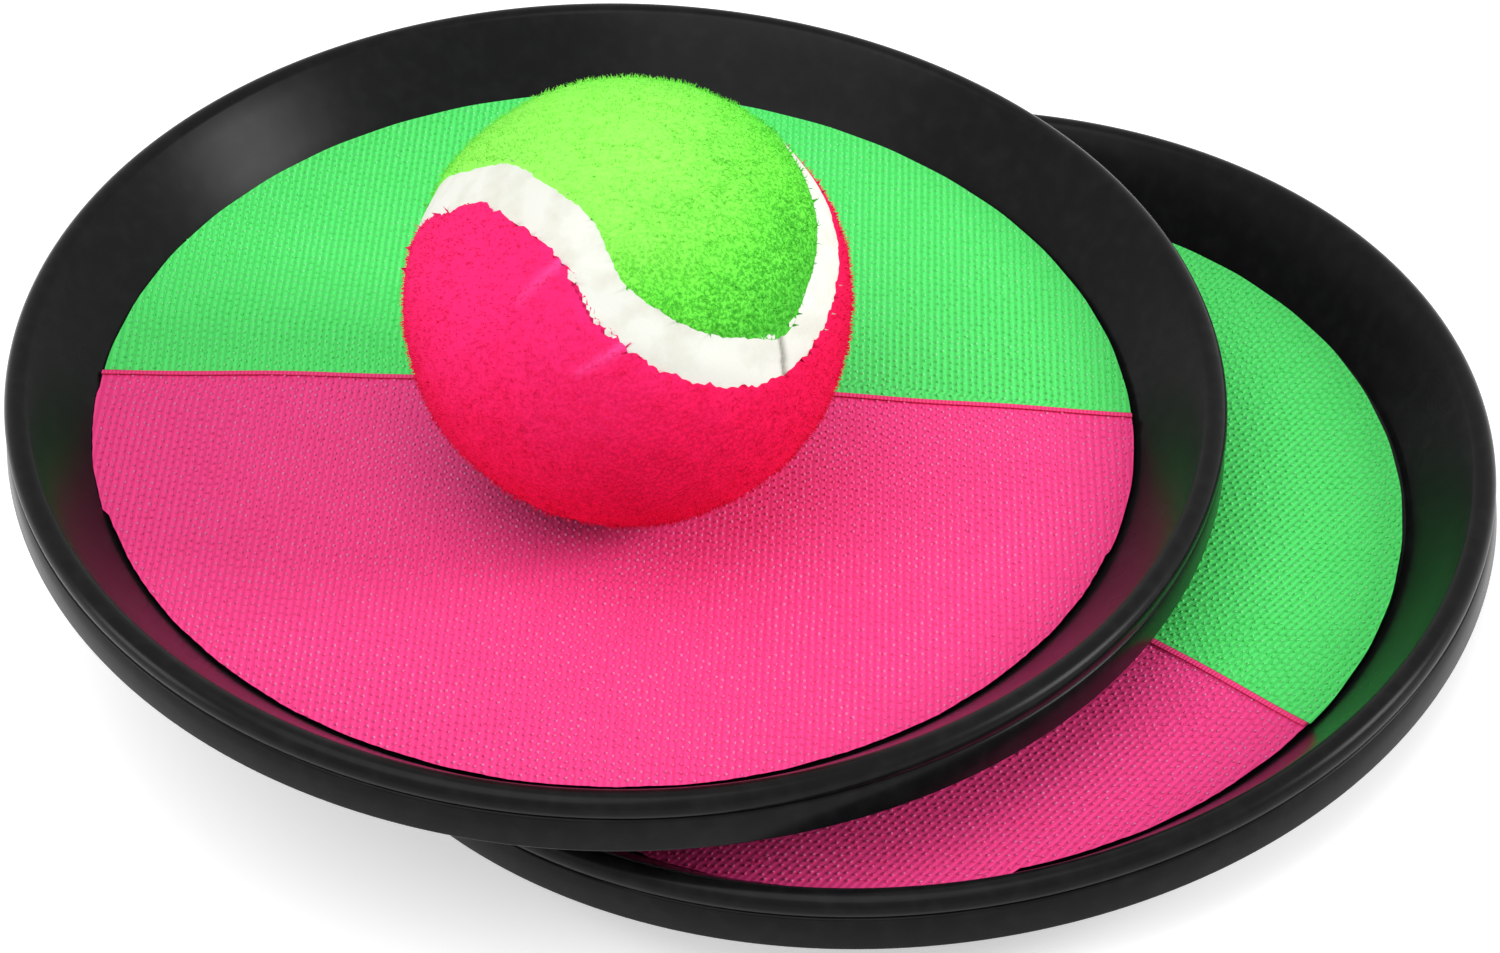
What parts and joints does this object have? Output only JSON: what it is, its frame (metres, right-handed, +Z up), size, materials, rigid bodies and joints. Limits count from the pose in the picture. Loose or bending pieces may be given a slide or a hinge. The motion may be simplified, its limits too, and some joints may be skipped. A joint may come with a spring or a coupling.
{
  "type": "hook and loop catch set",
  "caption": "Hook and loop catch set: round black hand paddles faced in green and pink hook cloth, stacked, with a green and pink felt ball resting on the upper one.",
  "frame": {"origin": "on the table, under the axis of the lower paddle, at the middle of its closed strap", "axes": "+Z up out of the dishes, +X to the right and +Y to the back as the set is seen from the front"},
  "size_m": [0.2279, 0.1917, 0.0967],
  "materials": {
    "black_plastic": "satin black moulded polypropylene",
    "green_hook_cloth": "bright green hook cloth, fine ribs",
    "pink_hook_cloth": "bright pink hook cloth, fine ribs",
    "black_webbing": "woven black webbing",
    "black_fastener": "black hook and loop patches",
    "green_felt": "lime green brushed felt",
    "pink_felt": "hot pink brushed felt",
    "white_band": "white rubber seam",
    "core_rubber": "plain rubber, hidden"
  },
  "bodies": {
    "root": {"lower_dish": "black_plastic", "lower_green_hook_cloth": "green_hook_cloth", "lower_pink_hook_cloth": "pink_hook_cloth", "lower_strap": "black_webbing", "lower_strap_loop_patch": "black_fastener", "lower_strap_hook_patch": "black_fastener", "upper_dish": "black_plastic", "upper_green_hook_cloth": "green_hook_cloth", "upper_pink_hook_cloth": "pink_hook_cloth", "upper_strap": "black_webbing", "upper_strap_loop_patch": "black_fastener", "upper_strap_hook_patch": "black_fastener", "ball_core": "core_rubber", "ball_green_cover": "green_felt", "ball_pink_cover": "pink_felt", "ball_seam_band": "white_band"}
  },
  "joints": []
}
